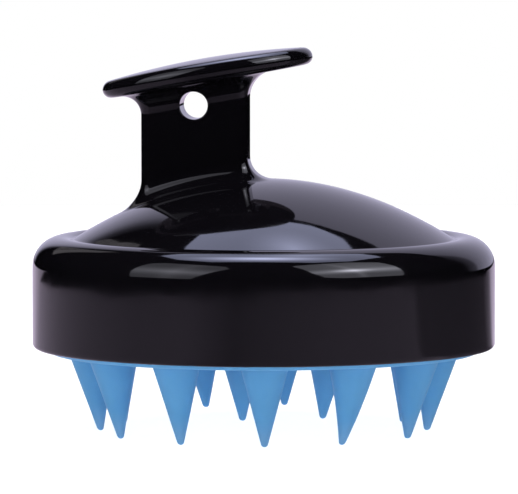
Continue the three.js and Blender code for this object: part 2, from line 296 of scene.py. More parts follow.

# %% [markdown]
# ### Sky-blue silicone
# The pad is liquid silicone rubber, moulded in a tool that was blasted with fine grit, so it has a
# satin face that feels dry. The grit's marks are 0.1 mm wide, and they are drawn 0.35 mm wide, so
# that they show. Light enters the silicone and comes out a little further on, which softens its
# shading and keeps the thin tips bright. It is pigmented right through. Towards the tips the colour
# is painted paler and greyer: painted light that stands in for the glow of the thin silicone.

# %% Sky-blue silicone
soft = {"IOR": 1.41, "Subsurface Weight": 0.2, "Subsurface Radius": (0.35, 0.75, 1.0)}
soft |= {"Subsurface Scale": 1.2 * MM, "Sheen Weight": 0.05, "Sheen Roughness": 0.4}
blue_silicone, tree, shader, place = start_finish("Sky-blue silicone rubber", soft)
body = two_shades(tree, place, 7, 3.0, "#4888b7", "#5292c1")
height = add_node(tree, "ShaderNodeSeparateXYZ", {}, {"Vector": place}).outputs["Z"]
# painted light: towards the tips the blue is painted paler and greyer, for the glow of thin
# silicone
fade = {"From Min": 0.2 * MM, "From Max": 6.0 * MM, "To Min": 0.55, "To Max": 0.0}
near_tip = add_node(
    tree, "ShaderNodeMapRange", fade, {"Value": height}, interpolation_type="SMOOTHSTEP"
)
mixed = {"A": body, "Factor": near_tip.outputs["Result"]}
painted_tip_glow = add_node(tree, "ShaderNodeMix", {"B": linear("#6f97bb")}, mixed, data_type="RGBA")
marks = {"Scale": per_feature(0.35), "Detail": 4.0, "Roughness": 0.6}
grit = add_node(tree, "ShaderNodeTexNoise", marks, {"Vector": place}).outputs["Fac"]
satin = add_node(tree, "ShaderNodeMapRange", {"To Min": 0.42, "To Max": 0.58}, {"Value": grit})
end_finish(tree, shader, painted_tip_glow.outputs["Result"], satin, grit, 0.5, 0.03)
print("finish:", blue_silicone.name)

# %% [markdown]
# ## The housing shell
# One moulding makes the band, the dome, the stem and the tray of the grip plate. Its skin is a grid
# of rings with 256 columns, which start at the stem's outline and run out from its middle over the
# dome to the band. So the fillets of the stem are true arcs in every column.

# %% Outlines of the stem and the band
FACE_COLUMNS, SIDE_COLUMNS, CORNER_COLUMNS = 52, 16, 30


def stem_outline(grow):
    """The stem's outline seen from above, grown by a margin, from the middle of its front."""
    corner = max(STEM_CORNER + grow, HOLLOW_CORNER)
    reach = np.array([STEM_LENGTH, STEM_THICKNESS]) / 2 + grow - corner
    arcs = []
    for start, quadrant in ((-90, (1, -1)), (0, (1, 1)), (90, (-1, 1)), (180, (-1, -1))):
        angles = np.radians(np.linspace(start, start + 90, CORNER_COLUMNS + 1))
        curve = np.stack([np.cos(angles), np.sin(angles)], axis=1)
        arcs.append(reach * quadrant + corner * curve)
    points = []
    for curve, following, columns in zip(
        arcs, arcs[1:] + arcs[:1], (SIDE_COLUMNS, FACE_COLUMNS) * 2
    ):
        share = np.linspace(0, 1, columns + 1)[1:-1, None]
        points += [curve, curve[-1] + share * (following[0] - curve[-1])]
    outline = np.roll(np.concatenate(points), FACE_COLUMNS // 2, axis=0)
    return outline + (STEM_OFFSET, 0)


STEM_SIDES = stem_outline(0)
FACING = stem_outline(1) - STEM_SIDES
FOOT_FILLET = FACE_FILLET + (STEM_FILLET - FACE_FILLET) * FACING[:, 0] ** 2
foot = STEM_SIDES + FOOT_FILLET[:, None] * FACING - (STEM_OFFSET, 0)
rays = foot / np.linalg.norm(foot, axis=1, keepdims=True)
along = STEM_OFFSET * rays[:, 0]
reach = np.sqrt(along**2 - STEM_OFFSET**2 + CREASE_RADIUS**2) - along
crease = (STEM_OFFSET, 0) + reach[:, None] * rays
COLUMN_ANGLES = np.arctan2(crease[:, 1], crease[:, 0])


def with_height(plan, height):
    """Points in plan, with one height or a height for each."""
    return np.column_stack([plan, np.broadcast_to(height, len(plan))])


def turned(radius, height):
    """A ring round the body's axis."""
    plan = radius * np.column_stack([np.cos(COLUMN_ANGLES), np.sin(COLUMN_ANGLES)])
    return with_height(plan, height)


def dome_level(plan):
    """The height of the dome over points in plan."""
    return DOME_TOP - DOME_RISE * (plan**2).sum(axis=1) / CREASE_RADIUS**2


def grip_level(x, above):
    """The height of a plane of the tilted grip plate over x."""
    return GRIP_MIDDLE + (x - GRIP_OFFSET) * math.tan(GRIP_TILT) + above / math.cos(GRIP_TILT)


print("columns:", len(COLUMN_ANGLES))

# %% [markdown]
# ### The crease
# The shoulder rolls over and meets the dome in a valley. A tool maker can't leave that valley
# sharp, and the photograph shows a thin bright line in it, so it gets a fillet of 0.7 mm. The
# fillet's middle lies 0.7 mm above the dome and 0.7 mm outside the shoulder's circle, and halving
# steps find that place.

# %% The fillet of the crease


def above_dome(radius):
    """The point that lies one fillet radius above the dome, seen from the side."""
    slope = -2 * DOME_RISE * radius / CREASE_RADIUS**2
    level = DOME_TOP - DOME_RISE * radius**2 / CREASE_RADIUS**2
    step = CREASE_FILLET / math.hypot(1, slope)
    return radius - slope * step, level + step


def past_shoulder(radius):
    """How far that point lies outside the place where the fillet touches the shoulder."""
    x, z = above_dome(radius)
    distance = math.hypot(x - SHOULDER_CIRCLE, z - SHOULDER_MIDDLE)
    return distance - SHOULDER_RADIUS - CREASE_FILLET


near, far = CREASE_RADIUS - 3 * CREASE_FILLET, CREASE_RADIUS
for _ in range(40):
    half = (near + far) / 2
    near, far = (half, far) if past_shoulder(half) > 0 else (near, half)
DOME_EDGE = near
fillet_x, fillet_z = above_dome(DOME_EDGE)
OVERTURN = math.degrees(math.atan2(fillet_z - SHOULDER_MIDDLE, fillet_x - SHOULDER_CIRCLE))
edge_slope = 2 * DOME_RISE * DOME_EDGE / CREASE_RADIUS**2
FILLET_END = -90 - math.degrees(math.atan(edge_slope))
print("the dome begins at a radius of", round(DOME_EDGE, 2), "mm")

# %% [markdown]
# ### Rings of the shell
# The rings run from the hollow of the stem, down the inside of the dome and the band, round the
# lower edge, up the outside, over the shoulder and the dome, up the stem, out along the underside
# of the plate, round its rim, and down into the pocket of the cap.

# %% Rings inside the shell and round the band


def between(low, high, share, level):
    """A ring between two others, seen from above, at the height of a surface."""
    plan = low[:, :2] + share * (high[:, :2] - low[:, :2])
    return with_height(plan, level(plan))


HOLE_LEVEL = grip_level(STEM_OFFSET, 0) - HOLE_DROP


def inside_rings():
    """From the top of the stem's hollow down to the lower edge of the band."""
    hollow = stem_outline(-SHELL_WALL)
    ceiling = lambda plan: dome_level(plan) - SHELL_WALL
    rings = [with_height(hollow, HOLE_LEVEL - HOLE_RADIUS - SHELL_WALL)]
    rings += [
        between(with_height(hollow, 0), turned(CREASE_RADIUS, 0), share, ceiling)
        for share in np.linspace(0, 1, 13)
    ]
    bore = BAND_RADIUS - SHELL_WALL
    corner = SHOULDER_RADIUS - SHELL_WALL
    outline = arc(SHOULDER_CIRCLE, SHOULDER_MIDDLE, corner, 90, 0, 8)
    outline += [(bore, (SHOULDER_MIDDLE + BAND_BOTTOM) / 2)]
    outline += arc(bore + BORE_ROUND, BAND_BOTTOM + BORE_ROUND, BORE_ROUND, 180, 270, 4)
    return rings + [turned(*point) for point in outline]


def band_rings():
    """Round the lower corner, up the band, over the shoulder and down into the crease."""
    edge = BAND_RADIUS - LOWER_CORNER
    outline = arc(edge, BAND_BOTTOM + LOWER_CORNER, LOWER_CORNER, 270, 360, 8)
    wall_bottom = BAND_BOTTOM + LOWER_CORNER
    wall = np.linspace(wall_bottom, SHOULDER_MIDDLE, 8)[1:-1]
    outline += [(BAND_RADIUS, height) for height in wall]
    outline += arc(SHOULDER_CIRCLE, SHOULDER_MIDDLE, SHOULDER_RADIUS, 0, OVERTURN, 40)
    outline += arc(fillet_x, fillet_z, CREASE_FILLET, OVERTURN - 180, FILLET_END, 10)[1:]
    return [turned(*point) for point in outline]


print("rings inside:", len(inside_rings()), "and round the band:", len(band_rings()))

# %% [markdown]
# ### The grip plate
# The plate is an oval with a full round rim, a low crown and a tilt of ten degrees. Its rings are
# drawn flat and then tilted. Each column meets the oval where its ray from the stem does.

# %% Rings of the stem and the grip plate
GRIP_FRAME = Matrix.Translation((GRIP_OFFSET, 0, GRIP_MIDDLE)) @ Matrix.Rotation(
    -GRIP_TILT, 4, "Y"
)
stem_in_grip = (STEM_OFFSET - GRIP_OFFSET) / math.cos(GRIP_TILT)
half_x = GRIP_LENGTH / 2 - GRIP_RIM / 2
half_y = GRIP_WIDTH / 2 - GRIP_RIM / 2
square = (rays[:, 0] / half_x) ** 2 + (rays[:, 1] / half_y) ** 2
middle = stem_in_grip * rays[:, 0] / half_x**2
reach = (np.sqrt(middle**2 - square * ((stem_in_grip / half_x) ** 2 - 1)) - middle) / square
OVAL_ANGLES = np.arctan2(
    reach * rays[:, 1] / half_y, (stem_in_grip + reach * rays[:, 0]) / half_x
)


def oval(border, level, crown_share, scale=1.0):
    """A ring of the plate, this far inside its rim, with a share of the crown."""
    x = scale * (GRIP_LENGTH / 2 - border) * np.cos(OVAL_ANGLES)
    y = scale * (GRIP_WIDTH / 2 - border) * np.sin(OVAL_ANGLES)
    fall = CROWN_RISE * (2 * x / GRIP_LENGTH) ** 2 + CROWN_FALL_ACROSS * (2 * y / GRIP_WIDTH) ** 2
    flat = np.column_stack([x, y, level + crown_share * (CROWN_RISE - fall)])
    tilted = np.array(GRIP_FRAME.to_3x3())
    return flat @ tilted.T + np.array(GRIP_FRAME.translation)


def fillet_ring(angle, surface, fillet, side):
    """A ring of the fillet that turns from the stem to a surface below or above it."""
    plan = STEM_SIDES + np.reshape(fillet * (1 - math.sin(angle)), (-1, 1)) * FACING
    return with_height(plan, surface(plan) + side * fillet * (1 - math.cos(angle)))


def underside(plan):
    return grip_level(plan[:, 0], -GRIP_RIM / 2)


quarter = np.linspace(0, math.pi / 2, 17)
foot_rings = [fillet_ring(angle, dome_level, FOOT_FILLET, 1) for angle in quarter]
head_rings = [fillet_ring(angle, underside, STEM_FILLET, -1) for angle in quarter[::-1]]
LOW_SHARE = 0.68
shank_shares = [*np.linspace(0, LOW_SHARE, 6)[1:], *np.linspace(LOW_SHARE, 1, 9)[1:-1]]
shank_rings = [
    foot_rings[-1] + share * (head_rings[0] - foot_rings[-1]) for share in shank_shares
]
dome_rings = [
    between(turned(DOME_EDGE, 0), foot_rings[0], share, dome_level)
    for share in np.linspace(0, 1, 31)[1:-1]
]


def plate_rings():
    """Out along the underside, round the rim, and down into the pocket of the cap."""
    edge = oval(GRIP_RIM / 2, -GRIP_RIM / 2, 0)
    rings = [head_rings[-1] + share * (edge - head_rings[-1]) for share in np.linspace(0, 1, 8)[1:]]
    for angle in np.radians(np.linspace(-90, 90, 21)[1:]):
        up = math.sin(angle)
        rings.append(oval(GRIP_RIM / 2 * (1 - math.cos(angle)), GRIP_RIM / 2 * up, (1 + up) / 2))
    lip = CAP_BORDER - CAP_ROUND
    rings += [oval(border, GRIP_RIM / 2, 1) for border in (lip - 0.2, lip - 0.05)]
    for angle in np.radians(np.linspace(90, 0, 5)):
        border = lip + CAP_ROUND * math.cos(angle)
        rings.append(oval(border, GRIP_RIM / 2 - CAP_ROUND * (1 - math.sin(angle)), 1))
    floor = CAP_FLOOR - GRIP_RIM / 2
    return rings + [oval(CAP_BORDER, floor, 0), oval(CAP_BORDER + 1, floor, 0)]


print("rings of the stem:", len(foot_rings) + len(shank_rings) + len(head_rings))

# %% [markdown]
# ### The hanging hole
# The hole runs through the stem and cuts into the fillet under the plate. A boolean would leave
# slivers there. Instead a window of faces is left out of the grid on both sides, and rings that
# change from the window's shape to a circle fill it. Their depth is worked out from the surface of
# the stem, so the fillet keeps its curve right up to the small round at the hole's edge.

# %% The hanging hole
WINDOW_COLUMNS, SHANK_STEPS_IN_WINDOW, HEAD_STEPS_IN_WINDOW = 14, 8, 11


def stem_depth(x, z):
    """How far the stem's face lies from its middle plane, with the fillet under the plate."""
    rise = z - (grip_level(x, -GRIP_RIM / 2) - STEM_FILLET)
    inside = STEM_FILLET**2 - np.clip(rise, 0, STEM_FILLET) ** 2
    return STEM_THICKNESS / 2 + STEM_FILLET - np.sqrt(inside)


def open_window(bm, rows, bands, low, high, middle, step):
    """Leaves a window out of the skin, and returns the ring of its edge."""
    count = len(rows[0])
    columns = [(middle + step * k) % count for k in range(-WINDOW_COLUMNS, WINDOW_COLUMNS + 1)]
    first = middle - WINDOW_COLUMNS
    faces = [
        band[(first + k) % count] for band in bands[low:high] for k in range(2 * WINDOW_COLUMNS)
    ]
    edge = [rows[low][c] for c in columns]
    edge += [rows[r][columns[-1]] for r in range(low + 1, high)]
    edge += [rows[high][c] for c in reversed(columns)]
    edge += [rows[r][columns[0]] for r in range(high - 1, low, -1)]
    bmesh.ops.delete(bm, geom=faces, context="FACES")
    return edge


def fill_window(bm, edge, side):
    """Fills a window with rings that end in the round edge of the hole."""
    corners = np.array([vert.co for vert in edge]) / MM
    offset = corners[:, [0, 2]] - (STEM_OFFSET, HOLE_LEVEL)
    direction = offset / np.linalg.norm(offset, axis=1, keepdims=True)
    circle = (HOLE_RADIUS + HOLE_ROUND) * direction
    plans = [(offset + share * (circle - offset), 0) for share in np.linspace(0, 1, 7)[1:]]
    for angle in np.radians(np.linspace(0, 90, 7)[1:]):
        radius = HOLE_RADIUS + HOLE_ROUND * (1 - math.sin(angle))
        plans.append((radius * direction, HOLE_ROUND * (1 - math.cos(angle))))
    for plan, sunk in plans:
        x, z = STEM_OFFSET + plan[:, 0], HOLE_LEVEL + plan[:, 1]
        ring = add_ring(bm, np.column_stack([x, side * (stem_depth(x, z) - sunk), z]))
        join_rings(bm, edge, ring)
        edge = ring
    return edge


shell = bmesh.new()
rings = [*inside_rings(), *band_rings(), *dome_rings, *foot_rings, *shank_rings]
window_low = len(rings) - SHANK_STEPS_IN_WINDOW
window_high = len(rings) + HEAD_STEPS_IN_WINDOW
rings += [*head_rings, *plate_rings()]
rows, bands = add_closed_skin(shell, rings)
half_turn = len(rows[0]) // 2
windows = [
    open_window(shell, rows, bands, window_low, window_high, middle, step)
    for middle, step in ((0, 1), (half_turn, -1))
]
front, back = [fill_window(shell, edge, side) for edge, side in zip(windows, (-1, 1))]
join_rings(shell, front, back)
print("the hole's middle is at", round(HOLE_LEVEL, 2), "mm")

# %% [markdown]
# ### Screw bosses
# Four tubes hang from the ceiling of the dome and take the screws of the carrier plate. They are
# hidden in use. Each is one skin, which goes down the outside and up the pilot hole.

# %% Screw bosses inside the dome
BOSS_WALL, PILOT_RADIUS, BOSS_BEVEL, BOSS_COLUMNS = 1.9, 1.7, 0.3, 40
SCREW_NODES = [f"carrier_screw_{i + 1}" for i in range(4)]
screw_boxes = [box_mm(node) for node in SCREW_NODES]
screw_places = [(low[:2] + high[:2]) / 2 for low, high in screw_boxes]
BOSS_BOTTOM = CARRIER_BOSS_TOP + FIT


def circle(place, radius, height, columns):
    angles = np.linspace(0, 2 * math.pi, columns, endpoint=False)
    plan = np.array(place) + radius * np.column_stack([np.cos(angles), np.sin(angles)])
    return with_height(plan, height(plan) if callable(height) else height)


def standing(outline, place, columns=BOSS_COLUMNS):
    """An outline turned round a place."""
    return [circle(place, radius, height, columns) for radius, height in outline]


def shell_boss():
    """From inside the ceiling down the outside of a boss, and up its pilot hole."""
    outside = PILOT_RADIUS + BOSS_WALL
    outline = [(outside, lambda plan: dome_level(plan) - SHELL_WALL / 2)]
    outline += [(outside, BOSS_BOTTOM + BOSS_BEVEL), (outside - BOSS_BEVEL, BOSS_BOTTOM)]
    return [*outline, (PILOT_RADIUS, BOSS_BOTTOM), (PILOT_RADIUS, screw_boxes[0][1][2] + FIT)]


for place in screw_places:
    add_closed_skin(shell, standing(shell_boss(), place))
make_piece(shell, "moulded_shell", black_abs, "handle_body", "housing_shell")

# %% [markdown]
# ### The handle cap
# The crowned top of the plate is a skin of its own, pressed into the tray, and its edge is the fine
# line just inside the rim. The seam is 0.12 mm wide, as a snap fit leaves it, and both sides of it
# are slightly rounded, because a moulded edge always is.

# %% The handle cap


def cap_rings():
    border = CAP_BORDER + CAP_SEAM
    underside_level = CAP_FLOOR - GRIP_RIM / 2 + CAP_GAP
    rings = [oval(border + 1, underside_level, 0), oval(border, underside_level, 0)]
    for angle in np.radians(np.linspace(0, 90, 6)):
        inset = border + CAP_ROUND * (1 - math.cos(angle))
        rings.append(oval(inset, GRIP_RIM / 2 - CAP_ROUND * (1 - math.sin(angle)), 1))
    scales = (0.995, 0.985, 0.965, 0.93, 0.88, 0.8, 0.7, 0.58, 0.45, 0.32, 0.2, 0.1)
    return rings + [oval(border + CAP_ROUND, GRIP_RIM / 2, 1, scale) for scale in scales]


cap = bmesh.new()
add_closed_skin(cap, cap_rings())
make_piece(cap, "crowned_cap", black_abs, "handle_body", "handle_cap")

# %% [markdown]
# ## The silicone pad
# The pad is one soft moulding: a disc with a rounded lip, an upright skirt, and 19 fingers whose
# tips lie on the curve of a head. A finger is a slim cone with a round tip, it leans inwards, and
# it grows out of the disc through a small fillet. It isn't padded or stuffed, so it is modelled
# directly. One finger in front stands a little crooked in the photograph, as soft fingers do.

# %% Sizes and places of the fingers
FINGER_LENGTH, TIP_RADIUS, TAPER, LEAN, ROOT_FILLET = 15.4, 0.7, 0.265, 0.11, 0.6
OUTER_TIPS, INNER_TIPS, HEAD_RADIUS = 31.8, 16.0, 111.0
FINGER_TURN = math.radians(5.8)
PAD_UNDERSIDE, PAD_THICKNESS, PAD_CORNER, SKIRT_WALL = FINGER_LENGTH, 3.0, 1.2, 2.2
PAD_RADIUS, SKIRT_TOP, SKIRT_ROUND = pad_high[0], pad_high[2], 0.5
FINGER_COLUMNS, SOCKET_COLUMNS, LATHE_COLUMNS = 32, 24, 192
CROOKED_FINGER, CROOKED_BY = 1, np.array([-1.2, 0.0])
TIP_END = -78  # degrees, where a small fan closes the round tip


def finger_plan():
    """Each finger: its direction round the axis, the distance of its tip and its length."""
    rings = [(12, OUTER_TIPS, FINGER_TURN), (6, INNER_TIPS, FINGER_TURN - math.pi / 12), (1, 0, 0)]
    return [
        (turn + i * 2 * math.pi / count, distance, FINGER_LENGTH - head_rise(distance))
        for count, distance, turn in rings
        for i in range(count)
    ]


def head_rise(distance):
    """How far a tip at this distance from the axis lies above the outer tips."""
    return (OUTER_TIPS**2 - distance**2) / (2 * HEAD_RADIUS)


def finger_place(finger, level):
    """The middle of a finger at a height."""
    turn, distance, length = finger
    lean = LEAN * (level - (PAD_UNDERSIDE - length)) if distance else 0
    return (distance + lean) * np.array([math.sin(turn), -math.cos(turn)])


def finger_rings(finger, crooked):
    """From the fillet at the pad down to the round tip."""
    length = finger[2]
    tip = PAD_UNDERSIDE - length
    half_angle = math.degrees(math.atan(TAPER))
    ball = tip + TIP_RADIUS
    touch = TIP_RADIUS * math.cos(math.radians(half_angle))
    touch_level = ball - TIP_RADIUS * math.sin(math.radians(half_angle))
    cone = lambda level: touch + TAPER * (level - touch_level)
    spread = ROOT_FILLET / math.tan(math.radians(90 + half_angle) / 2)
    root_x = cone(PAD_UNDERSIDE) + spread
    outline = arc(root_x, PAD_UNDERSIDE - ROOT_FILLET, ROOT_FILLET, 90, 180 - half_angle, 6)
    levels = np.linspace(outline[-1][1], touch_level, 12)[1:]
    outline += [(cone(level), level) for level in levels]
    outline += arc(0, ball, TIP_RADIUS, -half_angle, TIP_END, 6)[1:]
    rings = []
    for radius, level in outline:
        bend = crooked * ((PAD_UNDERSIDE - level) / length) ** 2 * CROOKED_BY
        rings.append(circle(finger_place(finger, level) + bend, radius, level, FINGER_COLUMNS))
    return rings


fingers = finger_plan()
print("fingers:", len(fingers))

# %% [markdown]
# ### The pad's skin
# The disc's underside is flat between the fingers, so it is filled with triangles from the lip to
# the roots. Above, each finger has a socket for a peg of the carrier plate. The skirt grips the
# plate's rim inside the band.

# %% The silicone pad
SOCKET_RADIUS, SOCKET_BOTTOM = 1.7, carrier_low[2] - FIT


def pad_outline():
    """From the underside round the lip, up the skirt and down inside it."""
    edge, bore = PAD_RADIUS - PAD_CORNER, PAD_RADIUS - SKIRT_WALL
    floor_level, top = PAD_UNDERSIDE + PAD_THICKNESS, SKIRT_TOP - SKIRT_ROUND
    outline = arc(edge, PAD_UNDERSIDE + PAD_CORNER, PAD_CORNER, 270, 360, 10)
    outline += arc(PAD_RADIUS - SKIRT_ROUND, top, SKIRT_ROUND, 0, 90, 4)
    outline += arc(bore + SKIRT_ROUND, top, SKIRT_ROUND, 90, 180, 4)
    return outline + arc(bore - SKIRT_ROUND, floor_level + SKIRT_ROUND, SKIRT_ROUND, 0, -90, 4)


pad = bmesh.new()
lip_rows, _ = add_skin(pad, standing(pad_outline(), (0, 0), LATHE_COLUMNS))
cones = [finger_rings(finger, i == CROOKED_FINGER) for i, finger in enumerate(fingers)]
fill_flat(pad, lip_rows[0], [add_blind_skin(pad, cone) for cone in cones])
socket = [(SOCKET_RADIUS, level) for level in (PAD_UNDERSIDE + PAD_THICKNESS, SOCKET_BOTTOM)]
root_places = [finger_place(finger, PAD_UNDERSIDE) for finger in fingers]
sockets = [standing(socket, place, SOCKET_COLUMNS) for place in root_places]
fill_flat(pad, lip_rows[-1], [add_blind_skin(pad, rings) for rings in sockets])
make_piece(pad, "fingered_pad", blue_silicone, "pad", "silicone_pad")

# %% [markdown]
# ### Grey ABS with a spark texture
# The carrier plate is never seen in use, so its tool isn't polished: spark erosion leaves the steel
# covered with fine pits, and the plastic copies them. The eye gets a dry, even grey that scatters
# light softly, with hardly a highlight. The real pits are 0.05 mm wide, and they are drawn 0.3 mm
# wide, because finer ones wouldn't show.

# %% Grey ABS with a spark texture
grey_abs, tree, shader, place = start_finish("Spark-textured grey ABS", {"IOR": 1.54})
colour = two_shades(tree, place, 9, 3.0, "#696b6f", "#717377")
sparks = {"Scale": per_feature(0.3), "Randomness": 1.0}
pits = add_node(tree, "ShaderNodeTexVoronoi", sparks, {"Vector": place}).outputs["Distance"]
dry = {"From Max": 0.7, "To Min": 0.62, "To Max": 0.48}
dryness = add_node(tree, "ShaderNodeMapRange", dry, {"Value": pits})
end_finish(tree, shader, colour, dryness, pits, 0.6, 0.03)
print("finish:", grey_abs.name)

# %% [markdown]
# ## The carrier plate
# Behind the pad sits a plate that holds it by the skirt, with a peg in the root of every finger.
# Its tall rim makes it stiff. Four bosses seat the screws, whose heads lie sunk in the underside.
# The plate is one closed skin of flat faces with holes, and of short stacks of rings for the rim,
# the pegs and the bosses.

# %% Rings of the carrier plate
CARRIER_RADIUS, CARRIER_RIM_WALL, EDGE_ROUND = carrier_high[0], 2.0, 0.3
PEG_RADIUS, PEG_LENGTH = 1.4, 5.0
RECESS_RADIUS, RECESS_DEPTH, CARRIER_BOSS_RADIUS = 3.0, 2.4, 4.9
PLATE_TOP = PLATE_UNDERSIDE + PLATE_THICKNESS


def carrier_rim():
    """From the underside up the rim, over its top and down to the plate inside it."""
    outer, inner = CARRIER_RADIUS - EDGE_ROUND, CARRIER_RADIUS - CARRIER_RIM_WALL + EDGE_ROUND
    top = carrier_high[2] - EDGE_ROUND
    outline = arc(outer, PLATE_UNDERSIDE + EDGE_ROUND, EDGE_ROUND, 270, 360, 4)
    outline += arc(outer, top, EDGE_ROUND, 0, 90, 4) + arc(inner, top, EDGE_ROUND, 90, 180, 4)
    return outline + arc(inner - 2 * EDGE_ROUND, PLATE_TOP + EDGE_ROUND, EDGE_ROUND, 0, -90, 4)


def screw_boss():
    """From the plate up a boss, down its bore and out of the recess for the screw's head."""
    foot, top = CARRIER_BOSS_RADIUS + EDGE_ROUND, CARRIER_BOSS_TOP - EDGE_ROUND
    outline = arc(foot, PLATE_TOP + EDGE_ROUND, EDGE_ROUND, 270, 180, 4)
    outline += arc(CARRIER_BOSS_RADIUS - EDGE_ROUND, top, EDGE_ROUND, 0, 90, 4)
    seat = PLATE_UNDERSIDE + RECESS_DEPTH
    outline += [(PILOT_RADIUS, CARRIER_BOSS_TOP), (PILOT_RADIUS, seat), (RECESS_RADIUS, seat)]
    mouth = RECESS_RADIUS + EDGE_ROUND
    return outline + arc(mouth, PLATE_UNDERSIDE + EDGE_ROUND, EDGE_ROUND, 180, 270, 4)


def finger_peg():
    """From the plate's underside down a peg to its round end."""
    outline = arc(PEG_RADIUS + EDGE_ROUND, PLATE_UNDERSIDE - EDGE_ROUND, EDGE_ROUND, 90, 180, 4)
    end = PLATE_UNDERSIDE - PEG_LENGTH + EDGE_ROUND
    return outline + arc(PEG_RADIUS - EDGE_ROUND, end, EDGE_ROUND, 0, -90, 4)


print("pegs:", len(fingers), "and bosses:", len(screw_places))

# %% The carrier plate
carrier = bmesh.new()
rim_rows, _ = add_skin(carrier, standing(carrier_rim(), (0, 0), LATHE_COLUMNS))
pegs = [standing(finger_peg(), place, SOCKET_COLUMNS) for place in root_places]
peg_roots = [add_blind_skin(carrier, peg) for peg in pegs]
boss_rows = [add_skin(carrier, standing(screw_boss(), place))[0] for place in screw_places]
fill_flat(carrier, rim_rows[0], peg_roots + [rows[-1] for rows in boss_rows])
fill_flat(carrier, rim_rows[-1], [rows[0] for rows in boss_rows])
make_piece(carrier, "pegged_carrier", grey_abs, "handle_body", "carrier_plate")

# %% [markdown]
# ### Zinc-plated steel
# Small self-tapping screws are cold-headed from steel wire, rolled and plated with zinc. The eye
# gets a bright satin metal with a faint cloud in its gloss. The rolling marks are 0.05 mm wide and
# are drawn 0.15 mm wide, so that they show.

# %% Zinc-plated steel
zinc_steel, tree, shader, place = start_finish("Zinc-plated steel", {"Metallic": 1.0})
film = {"Scale": per_feature(1.2), "Detail": 3.0}
cloud = add_node(tree, "ShaderNodeTexNoise", film, {"Vector": place}).outputs["Fac"]
shades = {"A": linear("#b2b7be"), "B": linear("#c3c6ca")}
zinc = add_node(tree, "ShaderNodeMix", shades, {"Factor": cloud}, data_type="RGBA")
satin = add_node(tree, "ShaderNodeMapRange", {"To Min": 0.24, "To Max": 0.4}, {"Value": cloud})
rolling = {"Scale": per_feature(0.15), "Detail": 2.0}
marks = add_node(tree, "ShaderNodeTexNoise", rolling, {"Vector": place}).outputs["Fac"]
end_finish(tree, shader, zinc.outputs["Result"], satin, marks, 0.4, 0.01)
print("finish:", zinc_steel.name)

# %% [markdown]
# ## The screws
# Four pan-head screws hold the carrier plate, with their points up in the shell's bosses. A screw
# could be a plain pin, but these show when the pad is off. So the head has a cross recess that
# narrows towards its floor, and the thread is a real one: the radius of each point of the skin
# depends on how far up and how far round it lies. All four screws share one mesh.

# %% The skin of a screw
SCREW_HEAD_RADIUS, HEAD_HEIGHT, THREAD_RADIUS, CORE_RADIUS = 2.7, 1.8, 1.4, 1.02
SCREW_LENGTH, SCREW_POINT, POINT_RADIUS = 10.0, 1.6, 0.05
PITCH, RIDGE_SHARE, THREAD_STEP = 1.1, 0.3, 0.11
CROSS_HALF_LENGTH, CROSS_HALF_WIDTH, CROSS_DEPTH, CROSS_NARROWING = 1.6, 0.4, 1.0, 0.55
arm_corner = math.degrees(math.atan2(CROSS_HALF_WIDTH, CROSS_HALF_LENGTH))
quarter_turn = [0, arm_corner / 2, arm_corner, 22, 32, 45, 58, 68, 90 - arm_corner]
quarter_turn += [90 - arm_corner / 2]
SCREW_TURNS = np.radians([start + turn for start in (0, 90, 180, 270) for turn in quarter_turn])


def cross_ring(scale, height):
    """A ring of the cross recess: the arms' ends, their sides and the corners between them."""
    turn = SCREW_TURNS % (math.pi / 2)
    folded = np.minimum(turn, math.pi / 2 - turn)
    end = CROSS_HALF_LENGTH / np.cos(folded)
    side = CROSS_HALF_WIDTH / np.sin(np.maximum(folded, 1e-6))
    return screw_ring(scale * np.minimum(end, side), height)


def screw_ring(radius, height):
    plan = np.column_stack([np.cos(SCREW_TURNS), np.sin(SCREW_TURNS)]) * np.reshape(radius, (-1, 1))
    return with_height(plan, height)


def thread_ring(height):
    """A ring of the threaded shank, which tapers to its point."""
    phase = (height / PITCH - SCREW_TURNS / (2 * math.pi)) % 1
    ridge = np.clip(1 - abs(phase - 0.5) / RIDGE_SHARE, 0, 1)
    radius = CORE_RADIUS + (THREAD_RADIUS - CORE_RADIUS) * ridge
    left = (SCREW_LENGTH - height) / SCREW_POINT
    return screw_ring(radius * min(1, 0.08 + 0.92 * left), height)


def screw_rings():
    """From the floor of the recess over the head and up the shank to the point."""
    face = -HEAD_HEIGHT
    rings = [cross_ring(CROSS_NARROWING, face + CROSS_DEPTH), cross_ring(1, face)]
    edge = HEAD_HEIGHT / 2
    outline = arc(SCREW_HEAD_RADIUS - edge, face + edge, edge, 270, 360, 8)
    rings += [screw_ring(*point) for point in outline]
    rings += [screw_ring(SCREW_HEAD_RADIUS, 0), screw_ring(CORE_RADIUS, 0)]
    heights = np.arange(THREAD_STEP, SCREW_LENGTH, THREAD_STEP)
    rings += [thread_ring(height) for height in heights]
    return rings + [screw_ring(POINT_RADIUS, SCREW_LENGTH)]


print("rings of a screw:", len(screw_rings()))

# %% The four screws
screw = bmesh.new()
add_closed_skin(screw, screw_rings())
screw_mesh = make_mesh(screw, "cross_recess_screw", zinc_steel)
SCREW_SEAT = PLATE_UNDERSIDE + RECESS_DEPTH - FIT
for number, (node, place) in enumerate(zip(SCREW_NODES, screw_places)):
    turn = 0.4 + 1.1 * number
    spot = Matrix.Translation(Vector((*place, SCREW_SEAT)) * MM) @ Matrix.Rotation(turn, 4, "Z")
    name = f"plate_screw_{number + 1}"
    hold_piece(screw_mesh, name, "handle_body", node, spot)

# %% [markdown]
# ## The floor and the light
# The photograph was taken in a dark studio, with soft boxes above and at both sides, a pale
# backdrop and a small pale table, and its background was then cleared to white. A black gloss shows
# only what it reflects. So the places of the boxes were worked out from their reflections, and each
# box is a card that only reflections see. The light on the pad and the paper comes from lamps.

